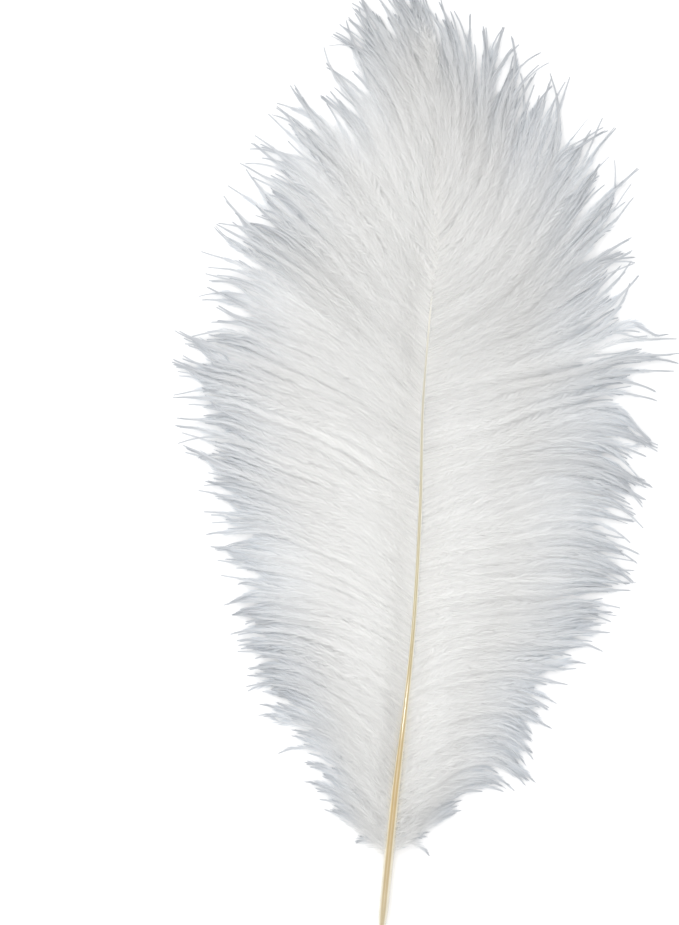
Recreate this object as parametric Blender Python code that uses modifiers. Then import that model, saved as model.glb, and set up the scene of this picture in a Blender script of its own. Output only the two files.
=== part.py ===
"""An ostrich plume lying on a flat surface, seen from above with its tip at +Y.

The shaft is one tapering piece of horn: a round quill, bare at the foot, that turns into
a squarer rachis with a groove along its underside. A vane of long limp barbs grows on
each side of it. Each vane is one soft solid here, as wide and as long as its barbs reach.
Units are metres, and the origin is at the middle of the plume's underside.
"""

import math

import bmesh
import bpy
import numpy as np
from mathutils import Vector

# Driving dimensions. Stations are measured along the plume from the quill's end, at 0.
PLUME_LENGTH = 0.456
SHAFT_LENGTH = 0.436
VANE_FOOT = 0.040  # where the lowest barbs leave the shaft
GAP = 0.0003  # clearance between a vane and whatever lies beside it

# The shaft's centre line, seen from above: (station, sideways), a gentle S.
SHAFT_BOW = (
    (0.000, -0.0240),
    (0.066, -0.0174),
    (0.143, -0.0088),
    (0.216, -0.0046),
    (0.258, -0.0036),
    (0.300, -0.0004),
    (0.340, 0.0032),
    (0.390, 0.0042),
    (0.456, 0.0006),
)
# The shaft's width, from its end: it swells above the tip and thins all the way up.
SHAFT_WIDTH = (
    (0.000, 0.0014),
    (0.006, 0.0030),
    (0.025, 0.0040),
    (0.055, 0.0040),
    (0.070, 0.0037),
    (0.118, 0.0026),
    (0.164, 0.0021),
    (0.214, 0.00175),
    (0.258, 0.0014),
    (0.310, 0.0010),
    (0.370, 0.0006),
    (0.436, 0.0003),
)
# How far the shaft's underside is off the surface: the quill lies on it, and the barbs
# carry the rest.
SHAFT_LIFT = (
    (0.000, 0.0003),
    (0.040, 0.0004),
    (0.110, 0.0024),
    (0.220, 0.0046),
    (0.330, 0.0044),
    (0.436, 0.0026),
)
RACHIS_START, RACHIS_FULL = 0.035, 0.085  # the section turns from round to squarish here
RACHIS_DEPTH = 1.15  # its depth over its width, once squarish
GROOVE_DEPTH = 0.22  # of the rachis's depth
SHAFT_STATIONS = 60
SHAFT_SIDES = 16

# Each vane's reach, from the shaft's centre line to the barbs' tips.
RIGHT_REACH = (
    (0.040, 0.006),
    (0.052, 0.020),
    (0.068, 0.040),
    (0.098, 0.060),
    (0.142, 0.081),
    (0.200, 0.098),
    (0.245, 0.111),
    (0.276, 0.1160),
    (0.310, 0.109),
    (0.350, 0.092),
    (0.392, 0.070),
    (0.424, 0.044),
    (0.444, 0.022),
    (0.456, 0.004),
)
LEFT_REACH = (
    (0.040, 0.006),
    (0.052, 0.017),
    (0.068, 0.031),
    (0.098, 0.049),
    (0.142, 0.072),
    (0.200, 0.092),
    (0.245, 0.107),
    (0.282, 0.1150),
    (0.316, 0.109),
    (0.350, 0.095),
    (0.392, 0.072),
    (0.424, 0.046),
    (0.444, 0.023),
    (0.456, 0.004),
)
# The vane's crown height along the plume, and its height across, as (share of the reach,
# share of the crown): it rises beside the shaft, and thins out to the drooping tips.
CROWN = ((0.040, 0.0060), (0.100, 0.0115), (0.230, 0.0145), (0.340, 0.0130), (0.456, 0.0055))
ACROSS = ((0.0, 0.45), (0.20, 1.0), (0.50, 0.42), (1.0, 0.14))
VANE_ROWS = 15
VANE_SMOOTHING = 2

HORN = (0.80, 0.62, 0.34, 1.0)
DOWN = (0.86, 0.87, 0.88, 1.0)


def clear_scene():
    for obj in list(bpy.data.objects):
        bpy.data.objects.remove(obj)


def smooth(points, at):
    """A cubic curve through (x, y) points, whose slope at each is its neighbours' parabola's."""
    x, y = np.array(points).T
    step = np.diff(x)
    rise = np.diff(y) / step
    inner = (step[1:] * rise[:-1] + step[:-1] * rise[1:]) / (step[:-1] + step[1:])
    slope = np.concatenate([[rise[0]], inner, [rise[-1]]])
    at = np.clip(np.asarray(at, float), x[0], x[-1])
    k = np.clip(np.searchsorted(x, at) - 1, 0, len(step) - 1)
    t = (at - x[k]) / step[k]
    return (
        y[k] * (1 + 2 * t) * (1 - t) ** 2
        + y[k + 1] * t * t * (3 - 2 * t)
        + step[k] * (slope[k] * t * (1 - t) ** 2 - slope[k + 1] * t * t * (1 - t))
    )


def material(name, colour, roughness):
    made = bpy.data.materials.new(name)
    made.use_nodes = True
    shader = made.node_tree.nodes["Principled BSDF"]
    shader.inputs["Base Color"].default_value = colour
    shader.inputs["Roughness"].default_value = roughness
    shader.inputs["Metallic"].default_value = 0.0
    made.diffuse_color = colour
    return made


def add_object(name, bm, look, collection):
    mesh = bpy.data.meshes.new(name)
    bmesh.ops.recalc_face_normals(bm, faces=bm.faces)
    bm.to_mesh(mesh)
    bm.free()
    mesh.shade_smooth()
    mesh.materials.append(look)
    obj = bpy.data.objects.new(name, mesh)
    collection.objects.link(obj)
    return obj


def shaft_section(station):
    """The shaft's outline at a station, as (sideways, up) from the centre line and the surface."""
    width = float(smooth(SHAFT_WIDTH, station))
    lift = float(smooth(SHAFT_LIFT, station))
    square = min(max((station - RACHIS_START) / (RACHIS_FULL - RACHIS_START), 0.0), 1.0)
    square = square * square * (3 - 2 * square)
    depth = width * (1 + (RACHIS_DEPTH - 1) * square)
    corner = 1 - 0.25 * square  # the exponent that squares a circle off as it falls
    outline = []
    for side in range(SHAFT_SIDES):
        angle = 2 * math.pi * (side + 0.5) / SHAFT_SIDES
        across = math.copysign(abs(math.cos(angle)) ** corner, math.cos(angle))
        up = math.copysign(abs(math.sin(angle)) ** corner, math.sin(angle))
        in_groove = square * max(0.0, 1 - (across / 0.6) ** 2) if up < 0 else 0.0
        high = lift + depth / 2 * (1 + up) + GROOVE_DEPTH * depth * in_groove
        outline.append((across * width / 2, high))
    return outline


def make_shaft(look, collection):
    """A loft from round to grooved sections, closer together at the quill's rounded end."""
    bm = bmesh.new()
    even = np.linspace(0, 1, SHAFT_STATIONS)
    stations = SHAFT_LENGTH * (0.35 * even**2.5 + 0.65 * even)
    rings = []
    for station in stations:
        middle = float(smooth(SHAFT_BOW, station))
        outline = shaft_section(station)
        rings.append([bm.verts.new((middle + x, station, z)) for x, z in outline])
    for low, high in zip(rings, rings[1:]):
        for i in range(SHAFT_SIDES):
            j = (i + 1) % SHAFT_SIDES
            bm.faces.new((low[i], low[j], high[j], high[i]))
    bm.faces.new(rings[0])
    bm.faces.new(rings[-1])
    bmesh.ops.triangulate(bm, faces=[f for f in bm.faces if len(f.verts) > 4])
    return add_object("shaft", bm, look, collection)


def make_vane(name, side, reach, look, collection):
    """One vane from a coarse cage: a flat underside with a sharp rim, and a crowned top."""
    bm = bmesh.new()
    crease = bm.edges.layers.float.new("crease_edge")
    tops, bottoms = [], []
    for station in np.linspace(VANE_FOOT, PLUME_LENGTH, VANE_ROWS):
        middle = float(smooth(SHAFT_BOW, station))
        beside = GAP
        if station < SHAFT_LENGTH + GAP:
            beside += float(smooth(SHAFT_WIDTH, station)) / 2
        tip = float(smooth(reach, station))
        crown = float(smooth(CROWN, station))
        top, bottom = [], []
        for share, height in ACROSS:
            x = middle + side * (beside + share * (tip - beside))
            top.append(bm.verts.new((x, station, crown * height)))
            bottom.append(bm.verts.new((x, station, 0.0)))
        tops.append(top)
        bottoms.append(bottom)
    last = len(ACROSS) - 1
    for row in range(VANE_ROWS - 1):
        for sheet in (tops, bottoms):
            for col in range(last):
                near, far = sheet[row], sheet[row + 1]
                bm.faces.new((near[col], near[col + 1], far[col + 1], far[col]))
        for col in (0, last):
            rim = (bottoms[row][col], bottoms[row + 1][col])
            bm.faces.new((*rim, tops[row + 1][col], tops[row][col]))
            bm.edges.get(rim)[crease] = 1.0
    for row in (0, VANE_ROWS - 1):
        for col in range(last):
            rim = (bottoms[row][col], bottoms[row][col + 1])
            bm.faces.new((*rim, tops[row][col + 1], tops[row][col]))
            bm.edges.get(rim)[crease] = 1.0
    vane = add_object(name, bm, look, collection)
    round_off = vane.modifiers.new("round off", "SUBSURF")
    round_off.levels = round_off.render_levels = VANE_SMOOTHING
    return vane


def centre(pieces, collection):
    """Hangs the pieces on an empty, and moves it so that the plume's middle is at the origin."""
    holder = bpy.data.objects.new("plume", None)
    collection.objects.link(holder)
    for piece in pieces:
        piece.parent = holder
    bpy.context.view_layer.update()
    graph = bpy.context.evaluated_depsgraph_get()
    corners = []
    for piece in pieces:
        mesh = piece.evaluated_get(graph).to_mesh()
        corners += [piece.matrix_world @ v.co for v in mesh.vertices]
        piece.evaluated_get(graph).to_mesh_clear()
    low = Vector([min(c[i] for c in corners) for i in range(3)])
    high = Vector([max(c[i] for c in corners) for i in range(3)])
    middle = (low + high) / 2
    holder.location = (-middle.x, -middle.y, -low.z)


def main():
    clear_scene()
    collection = bpy.data.collections.new("ostrich_feather")
    bpy.context.scene.collection.children.link(collection)
    horn = material("horn", HORN, 0.35)
    down = material("down", DOWN, 0.9)
    pieces = (
        make_shaft(horn, collection),
        make_vane("vane_left", -1, LEFT_REACH, down, collection),
        make_vane("vane_right", 1, RIGHT_REACH, down, collection),
    )
    centre(pieces, collection)


main()
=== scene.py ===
"""The looks of a white ostrich plume lying on a pale surface, seen from straight above."""

import math

import bpy
import numpy as np
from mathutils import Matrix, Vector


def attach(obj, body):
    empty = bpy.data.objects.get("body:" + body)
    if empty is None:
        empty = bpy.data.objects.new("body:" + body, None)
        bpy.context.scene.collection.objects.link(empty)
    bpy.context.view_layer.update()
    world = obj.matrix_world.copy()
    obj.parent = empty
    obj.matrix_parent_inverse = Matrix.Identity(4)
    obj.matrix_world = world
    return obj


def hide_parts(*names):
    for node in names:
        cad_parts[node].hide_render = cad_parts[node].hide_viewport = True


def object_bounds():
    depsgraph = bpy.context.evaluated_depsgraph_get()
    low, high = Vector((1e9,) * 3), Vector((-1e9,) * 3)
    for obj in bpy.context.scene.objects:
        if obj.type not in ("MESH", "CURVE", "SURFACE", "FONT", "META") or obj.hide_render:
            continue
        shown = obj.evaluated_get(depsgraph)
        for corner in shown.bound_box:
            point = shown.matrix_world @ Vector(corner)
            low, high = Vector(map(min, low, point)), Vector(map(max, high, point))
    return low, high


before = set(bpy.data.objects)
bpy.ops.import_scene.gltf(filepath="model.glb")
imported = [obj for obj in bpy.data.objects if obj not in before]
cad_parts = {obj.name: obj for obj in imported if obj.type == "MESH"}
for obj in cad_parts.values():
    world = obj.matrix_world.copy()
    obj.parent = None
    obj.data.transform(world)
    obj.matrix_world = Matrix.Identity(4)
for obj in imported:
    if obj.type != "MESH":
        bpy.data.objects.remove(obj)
cad_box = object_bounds()

# The shaft is one piece of horn: a round bare quill, rounded off at its end, that turns
# into a squarer rachis with a groove underneath. It thins all the way to the tip. Its
# line, width and lift are read from the frame's shaft, ring by ring.
SHAFT_SIDES, SHAFT_RINGS = 32, 420
RINGS_CROWD = 0.25  # 0 spaces the rings evenly, and 1 crowds them at the quill's end
RACHIS_BEGINS, RACHIS_COMPLETE = 0.035, 0.085  # stations, which are distances from the quill's end
RACHIS_SQUARE = 0.25  # 0 is a round section, and 1 a square one
GROOVE_DEPTH, GROOVE_WIDTH = 0.22, 0.6  # of the rachis's own
SHAFT_BREADTH = 1.12  # of the frame's shaft, with its pale edges
END_RINGS = (0.02, 0.7)  # each end is rounded off by two rings of these sizes, of its own
# It isn't quite straight around a third of the way up: a low ripple that starts and stops.
RIPPLE_HEIGHT, RIPPLE_LENGTH, RIPPLE_MIDDLE = 0.00013, 0.055, 0.113
RIPPLE_STARTS, RIPPLE_STOPS, RIPPLE_FADE = 0.04, 0.166, 0.03
# Its colours, from 0 at the quill's end to 1 at the tip: honey, then cream, then white.
HORN_CORE = (
    (0.00, (0.50, 0.43, 0.285)),
    (0.08, (0.48, 0.38, 0.22)),
    (0.20, (0.47, 0.345, 0.165)),
    (0.32, (0.47, 0.375, 0.20)),
    (0.44, (0.46, 0.40, 0.245)),
    (0.58, (0.49, 0.45, 0.33)),
    (0.68, (0.51, 0.48, 0.39)),
    (0.74, (0.66, 0.64, 0.57)),
    (0.80, (0.88, 0.875, 0.85)),
)
# Its edges: pale clear horn, painted lighter still as painted light on its shaded sides.
HORN_EDGES_PAINTED_LIGHTER = (
    (0.00, (0.72, 0.68, 0.56)),
    (0.20, (0.73, 0.675, 0.53)),
    (0.34, (0.85, 0.81, 0.69)),
    (0.55, (0.87, 0.85, 0.77)),
    (0.75, (0.90, 0.90, 0.87)),
)
EDGE_STARTS, EDGE_COMPLETE = 0.44, 0.72  # 0 is the shaft's middle, and 1 its side
# Worn dull around the quill, and glossiest a third of the way up.
HORN_ROUGHNESS = (
    (0.00, 0.28),
    (0.24, 0.24),
    (0.285, 0.09),
    (0.345, 0.09),
    (0.40, 0.17),
    (1.00, 0.20),
)
GRAIN = (26.0, 9.0, 1.0)  # fine lines that run along the horn: how many around and along it
CLOUDS = (2.0, 46.0, 1.0)  # paler and darker bands across it, counted in the same way
# What they multiply its colour and its roughness by, at least and at most.
GRAIN_TONES, CLOUD_TONES, GRAIN_ROUGHNESS = (0.88, 1.10), (0.93, 1.06), (0.75, 1.25)
GRAIN_STRENGTH, GRAIN_DEPTH = 0.12, 0.0001


def curve_through(x, y, at):
    """A cubic curve through points, whose slope at each is its neighbours' parabola's."""
    x, y = np.asarray(x, float), np.asarray(y, float)
    step = np.diff(x)
    rise = np.diff(y) / step
    inner = (step[1:] * rise[:-1] + step[:-1] * rise[1:]) / (step[:-1] + step[1:])
    slope = np.concatenate([[rise[0]], inner, [rise[-1]]])
    at = np.clip(at, x[0], x[-1])
    k = np.clip(np.searchsorted(x, at) - 1, 0, len(step) - 1)
    t = (at - x[k]) / step[k]
    return (
        y[k] * (1 + 2 * t) * (1 - t) ** 2
        + y[k + 1] * t * t * (3 - 2 * t)
        + step[k] * (slope[k] * t * (1 - t) ** 2 - slope[k + 1] * t * t * (1 - t))
    )


def ease(t):
    """From 0 to 1, starting and stopping gently."""
    t = np.clip(t, 0, 1)
    return t * t * (3 - 2 * t)


def corners_of(node):
    """The corners of one of the frame's solids."""
    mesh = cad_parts[node].data
    flat = np.empty(len(mesh.vertices) * 3, np.float32)
    mesh.vertices.foreach_get("co", flat)
    return flat.reshape(-1, 3).astype(float)


def rings_of(points):
    """The shaft's rings in the frame: y, and the lowest and highest x and z at each."""
    level = np.round(points[:, 1], 5)
    found = []
    for y in np.unique(level):
        ring = points[level == y]
        if len(ring) >= 8:
            found.append([y, *ring[:, (0, 2)].min(0), *ring[:, (0, 2)].max(0)])
    return np.array(found).T


ring_y, ring_left, ring_low, ring_right, ring_high = rings_of(corners_of("shaft"))
quill_end, shaft_end = ring_y[0], ring_y[-1]


def shaft_x(y):
    """The shaft's middle line."""
    return curve_through(ring_y, (ring_left + ring_right) / 2, y)


def shaft_half(y):
    return curve_through(ring_y, (ring_right - ring_left) / 2, y)


def shaft_bottom(y):
    return curve_through(ring_y, ring_low, y)


def shaft_top(y):
    return curve_through(ring_y, ring_high, y)


def shaft_section(station):
    """The outline across the shaft at each ring, from -1 to 1, and how deep its groove is."""
    square = ease((station - RACHIS_BEGINS) / (RACHIS_COMPLETE - RACHIS_BEGINS))[:, None]
    angle = 2 * math.pi * (np.arange(SHAFT_SIDES) + 0.5) / SHAFT_SIDES
    corner = 1 - RACHIS_SQUARE * square
    across = np.sign(np.cos(angle)) * np.abs(np.cos(angle)) ** corner
    up = np.sign(np.sin(angle)) * np.abs(np.sin(angle)) ** corner
    groove = square * np.clip(1 - (across / GROOVE_WIDTH) ** 2, 0, 1) * (up < 0)
    return across, up, groove


def shaft_rings():
    """The shaft's rings of points, with both ends rounded off."""
    along = np.linspace(0, 1, SHAFT_RINGS)
    y = quill_end + (shaft_end - quill_end) * (RINGS_CROWD * along**2 + (1 - RINGS_CROWD) * along)
    station = y - quill_end
    across, up, groove = shaft_section(station)
    depth = (shaft_top(y) - shaft_bottom(y))[:, None]
    x = shaft_x(y)[:, None] + SHAFT_BREADTH * shaft_half(y)[:, None] * across
    z = shaft_bottom(y)[:, None] + depth * ((1 + up) / 2 + GROOVE_DEPTH * groove)
    ripple = RIPPLE_HEIGHT * np.sin(2 * math.pi * (station - RIPPLE_MIDDLE) / RIPPLE_LENGTH)
    ripple = ripple * np.clip((station - RIPPLE_STARTS) / RIPPLE_FADE, 0, 1)
    ripple = ripple * np.clip((RIPPLE_STOPS - station) / RIPPLE_FADE, 0, 1)
    z = z + ripple[:, None]
    rings = np.stack([x, np.broadcast_to(y[:, None], x.shape), z], axis=-1)
    first, last = rings[0].mean(0), rings[-1].mean(0)
    return np.concatenate([
        [first + size * (rings[0] - first) for size in END_RINGS],
        rings[1:-1],
        [last + size * (rings[-1] - last) for size in reversed(END_RINGS)],
    ])


def shaft_mesh():
    """The shaft's points and quads, laid out with X around it and Y along it."""
    rings = shaft_rings()
    row = np.arange(len(rings) - 1)[:, None] * SHAFT_SIDES
    side = np.arange(SHAFT_SIDES)[None, :]
    above = row + SHAFT_SIDES
    after = (side + 1) % SHAFT_SIDES
    quads = np.stack([row + side, above + side, above + after, row + after], -1)
    left, low = side + 0 * row, row + 0 * side
    right, high = left + 1, low + SHAFT_SIDES
    u = np.stack([left, left, right, right], -1) / SHAFT_SIDES
    v = np.stack([low, high, high, low], -1) / (SHAFT_SIDES * (len(rings) - 1))
    return rings.reshape(-1, 3), quads.reshape(-1, 4), np.stack([u, v], -1).reshape(-1, 2)


def mesh_object(name, points, faces, layout, look):
    """A mesh from arrays of points, of triangles or quads, and of a layout place a corner."""
    mesh = bpy.data.meshes.new(name)
    mesh.vertices.add(len(points))
    mesh.vertices.foreach_set("co", np.ascontiguousarray(points, np.float32).ravel())
    mesh.loops.add(faces.size)
    mesh.loops.foreach_set("vertex_index", faces.astype(np.int32).ravel())
    mesh.polygons.add(len(faces))
    starts = np.arange(0, faces.size, faces.shape[1], dtype=np.int32)
    mesh.polygons.foreach_set("loop_start", starts)
    layer = mesh.uv_layers.new(name="OFBake")
    layer.data.foreach_set("uv", np.ascontiguousarray(layout, np.float32).ravel())
    mesh.update(calc_edges=True)
    mesh.shade_smooth()
    mesh.materials.append(look)
    obj = bpy.data.objects.new(name, mesh)
    bpy.context.scene.collection.objects.link(obj)
    return obj


def new_material(name):
    """A material, and the sockets of its layout: the whole place, and its X and Y."""
    made = bpy.data.materials.new(name)
    made.use_nodes = True
    where = made.node_tree.nodes.new("ShaderNodeUVMap")
    where.uv_map = "OFBake"
    parts = made.node_tree.nodes.new("ShaderNodeSeparateXYZ")
    made.node_tree.links.new(where.outputs["UV"], parts.inputs[0])
    return made, where.outputs["UV"], parts.outputs["X"], parts.outputs["Y"]


def ramp_of(made, value, stops):
    """A value turned into the colours of a ramp."""
    node = made.node_tree.nodes.new("ShaderNodeValToRGB")
    elements = node.color_ramp.elements
    while len(elements) < len(stops):
        elements.new(0.5)
    for element, (place, colour) in zip(elements, stops):
        element.position = place
        element.color = (*colour, 1)
    made.node_tree.links.new(value, node.inputs[0])
    return node.outputs[0]


def maths(made, operation, first, second=0.0):
    """A sum or other step on two values, each a number or a socket."""
    node = made.node_tree.nodes.new("ShaderNodeMath")
    node.operation = operation
    for socket, value in zip(node.inputs, (first, second)):
        if isinstance(value, (int, float)):
            socket.default_value = value
        else:
            made.node_tree.links.new(value, socket)
    return node.outputs[0]


def blend_of(made, kind, share, first, second):
    """Two colours mixed or multiplied, each with a socket or a number for its share."""
    node = made.node_tree.nodes.new("ShaderNodeMix")
    node.data_type = "RGBA"
    node.blend_type = kind
    for name, value in (("Factor", share), ("A", first), ("B", second)):
        if isinstance(value, (int, float)):
            node.inputs[name].default_value = value
        else:
            made.node_tree.links.new(value, node.inputs[name])
    return node.outputs["Result"]


def noise_of(made, where, scale, detail):
    """Noise over the layout, stretched by a scale in each direction."""
    nodes, links = made.node_tree.nodes, made.node_tree.links
    stretch = nodes.new("ShaderNodeMapping")
    stretch.inputs["Scale"].default_value = scale
    links.new(where, stretch.inputs["Vector"])
    noise = nodes.new("ShaderNodeTexNoise")
    noise.inputs["Scale"].default_value = 1.0
    noise.inputs["Detail"].default_value = detail
    links.new(stretch.outputs[0], noise.inputs["Vector"])
    return noise.outputs["Fac"]


def spread_of(made, noise, low, high):
    """Noise, which hardly leaves its middle half, spread from low to high."""
    node = made.node_tree.nodes.new("ShaderNodeMapRange")
    node.inputs["From Min"].default_value = 0.25
    node.inputs["From Max"].default_value = 0.75
    node.inputs["To Min"].default_value = low
    node.inputs["To Max"].default_value = high
    made.node_tree.links.new(noise, node.inputs["Value"])
    return node.outputs[0]


def horn_material():
    """Clear horn with fine lines along it, from honey at the quill to white."""
    made, where, around, along = new_material("horn")
    nodes, links = made.node_tree.nodes, made.node_tree.links
    shader = nodes["Principled BSDF"]
    # The horn is clearest, and so palest, along its two edges, and is painted paler still
    # there: painted light on its sides, which tilt away and lie in shade beside the down.
    core = ramp_of(made, along, HORN_CORE)
    edges = ramp_of(made, along, HORN_EDGES_PAINTED_LIGHTER)
    turn = maths(made, "MULTIPLY", around, 2 * math.pi)
    sideways = maths(made, "ABSOLUTE", maths(made, "COSINE", turn))
    edge = ramp_of(made, sideways, ((EDGE_STARTS, (0, 0, 0)), (EDGE_COMPLETE, (1, 1, 1))))
    plain = blend_of(made, "MIX", edge, core, edges)
    grain = noise_of(made, where, GRAIN, 3.0)
    clouds = noise_of(made, where, CLOUDS, 2.0)
    lined = blend_of(made, "MULTIPLY", 1.0, plain, spread_of(made, grain, *GRAIN_TONES))
    colour = blend_of(made, "MULTIPLY", 1.0, lined, spread_of(made, clouds, *CLOUD_TONES))
    links.new(colour, shader.inputs["Base Color"])
    worn = ramp_of(made, along, [(place, (rough,) * 3) for place, rough in HORN_ROUGHNESS])
    rough = maths(made, "MULTIPLY", worn, spread_of(made, grain, *GRAIN_ROUGHNESS))
    links.new(rough, shader.inputs["Roughness"])
    bump = nodes.new("ShaderNodeBump")
    bump.inputs["Strength"].default_value = GRAIN_STRENGTH
    bump.inputs["Distance"].default_value = GRAIN_DEPTH
    links.new(grain, bump.inputs["Height"])
    links.new(bump.outputs[0], shader.inputs["Normal"])
    return made


shaft = mesh_object("shaft_horn", *shaft_mesh(), horn_material())
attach(shaft, "root")
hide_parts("shaft")

# The barbs grow out of each side of the shaft in one row: long, limp white strands of the
# same stuff, that rise beside it, arch over and droop. They weave over and under their
# neighbours, and cling in pointed wisps at their tips, on the vane's rim.
BARBS_A_SIDE, BARB_POINTS = 520, 56
FIRST_BARB, LAST_BARB = 0.041, 0.4345  # stations
ROOT_SHIFT = 0.3  # how far a barb may grow from its even place, of the space for one
ROOT_OUT, ROOT_UP = 0.98, 0.78  # of half the shaft's breadth, and of its depth
# Which way barbs lie where they pass, in degrees above straight out from the shaft. Each
# line has a station and the directions there at these distances from the shaft. They were
# written after readings of the photo at those places, and made up beyond them.
OUT = (0.0, 0.012, 0.025, 0.039, 0.054, 0.069, 0.083, 0.098, 0.112)
WAYS = {
    1: (
        (0.042, 38, 22, -24, -40, -45, -50, -50, -50, -50),
        (0.057, 38, 36, 18, -16, -34, -40, -45, -50, -50),
        (0.076, 34, 33, 34, 6, -38, -48, -48, -48, -48),
        (0.096, 32, 29, 30, 0, -30, -40, -42, -42, -42),
        (0.115, 28, 22, 11, 5, -17, -27, -32, -34, -34),
        (0.135, 32, 29, 14, 7, -3, -2, -13, -24, -28),
        (0.155, 18, 14, 7, 5, 3, 6, 0, -12, -22),
        (0.174, 17, 13, 8, 3, 0, 2, -6, -16, -24),
        (0.194, 24, 21, 10, 11, 15, 0, -15, -22, -28),
        (0.213, 28, 26, 27, 24, 20, 9, -10, -22, -30),
        (0.233, 18, 16, 13, 13, 6, -3, -17, -30, -36),
        (0.253, 14, 12, 11, 25, 23, 17, 4, -24, -32),
        (0.272, 15, 13, 16, 9, 7, 14, 13, -2, -14),
        (0.292, 29, 29, 28, 19, 21, 24, 28, 11, 14),
        (0.311, 28, 29, 39, 42, 39, 32, 36, 30, 26),
        (0.331, 37, 40, 49, 55, 56, 46, 36, 33, 30),
        (0.351, 52, 56, 62, 66, 62, 52, 44, 40, 38),
        (0.370, 66, 69, 72, 70, 65, 57, 48, 44, 42),
        (0.390, 86, 83, 80, 74, 66, 60, 54, 50, 48),
        (0.409, 98, 92, 82, 72, 64, 60, 56, 54, 52),
        (0.429, 106, 98, 84, 70, 62, 58, 56, 54, 52),
        (0.449, 112, 104, 86, 70, 62, 58, 56, 54, 52),
    ),
    -1: (
        (0.042, 46, 28, -20, -45, -55, -55, -55, -55, -55),
        (0.057, 52, 50, 24, -12, -35, -45, -55, -55, -55),
        (0.076, 50, 48, 42, 18, -15, -35, -45, -52, -52),
        (0.096, 50, 50, 48, 24, -4, -24, -38, -46, -46),
        (0.115, 40, 36, 33, 34, 15, -5, -25, -30, -34),
        (0.135, 38, 34, 33, 26, 23, 3, -14, -27, -30),
        (0.155, 36, 31, 30, 15, 11, 4, -8, -20, -26),
        (0.174, 40, 36, 32, 22, 16, 13, 3, -11, -18),
        (0.194, 40, 38, 33, 19, 22, 12, -2, -3, -10),
        (0.213, 30, 26, 26, 20, 20, 19, 12, 8, 2),
        (0.233, 32, 30, 38, 31, 22, 22, 24, 15, 11),
        (0.253, 38, 35, 31, 22, 22, 18, 22, 9, 7),
        (0.272, 49, 46, 42, 33, 28, 22, 20, 10, 8),
        (0.292, 46, 42, 47, 40, 23, 25, 25, 14, 12),
        (0.311, 48, 46, 48, 44, 34, 31, 28, 20, 11),
        (0.331, 60, 58, 59, 55, 43, 34, 24, 17, 12),
        (0.351, 64, 62, 58, 55, 47, 41, 34, 27, 20),
        (0.370, 72, 72, 69, 59, 48, 40, 35, 28, 25),
        (0.390, 71, 68, 65, 62, 48, 38, 33, 30, 28),
        (0.409, 70, 66, 58, 54, 44, 41, 38, 36, 34),
        (0.429, 67, 62, 53, 51, 48, 47, 45, 42, 38),
        (0.449, 66, 62, 58, 55, 52, 50, 48, 44, 40),
    ),
}
STEP, STEPS = 0.0022, 100  # how barbs are followed through those directions
TRIAL_BARBS, SPACED_AT = 240, 0.8  # they're spaced evenly this far along, of their length
RIM_LEVELS, RIM_WITHIN, ON_SURFACE = 60, 0.006, 0.0001  # how the frame's rim is measured
NEIGHBOURS, MOST_LONGER = 9, 1.05  # a barb is hardly longer than the usual one of these
# How far past the frame's vane the barbs reach, by station. The right side's was corrected
# until its outline came close to the photo's.
BEYOND_RIM = {
    1: ((0.040, 0.012), (0.056, 0.001), (0.069, 0.002), (0.083, 0.012), (0.096, 0.004),
        (0.108, 0.001), (0.123, -0.003), (0.142, 0.005), (0.181, 0.007), (0.205, 0.006),
        (0.236, -0.005), (0.262, -0.010), (0.289, -0.004), (0.309, -0.013), (0.328, -0.015),
        (0.348, -0.008), (0.367, 0.001), (0.382, 0.002), (0.397, -0.003), (0.407, 0.001),
        (0.417, -0.002), (0.427, 0.000), (0.436, -0.003), (0.446, -0.010), (0.456, -0.010)),
    -1: ((0.040, 0.010), (0.064, 0.005), (0.083, 0.006), (0.140, 0.006), (0.200, 0.005),
         (0.260, 0.0), (0.330, -0.002), (0.400, 0.002), (0.430, 0.006), (0.445, 0.012),
         (0.456, 0.022)),
}
# Neighbours run side by side in strands, and some lie lower, under the rest.
STRAND_SIZES, STRAND_ODDS = (1, 2, 3), (0.35, 0.45, 0.20)
STRAND_STARTS, STRAND_OVER, STRAND_PULL = 0.05, 0.3, 0.50
LOWER_SHARE, LOWER_DOWN, UPPER_DOWN = 0.35, (0.0006, 0.0014), (0, 0.0003)
# They swing as they go: the length of each wave, and its degrees in step and alone.
WAVES = ((0.075, 1.8, 1.6), (0.034, 1.5, 2.0), (0.015, 0.9, 1.6))
WAVES_START_OVER, WAVE_STRETCH, WAVE_STRENGTH = 0.03, (0.8, 1.25), (0.3, 1.4)
# What changes slowly along the row: the row's share in one change, and how much it is.
ROW_TURNS, ROW_PHASE = (0.10, 1.5), (0.06, 2.5)
ROW_UNEVEN, ROW_HEIGHT = (0.05, 0.0010), (0.10, 0.03)
BARB_TURNS, BARB_UNEVEN = 0.6, 0.0018  # each barb's own
CROSSING_SHARE, CROSSING_DEGREES, CROSSING_FROM, CROSSING_OVER = 0.06, 12, 0.02, 0.03
# The lowest ones hang, some of them, and are shorter.
HANGING_SHARE, HANGING_BELOW, HANGING_OVER, HANGING_DEGREES = 0.4, 0.072, 0.02, (10, 60)
HANGING_FROM, HANGING_BEND = 0.003, 0.008  # where along a barb it turns down
HANGING_LENGTH = 0.65  # of the others'
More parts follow.
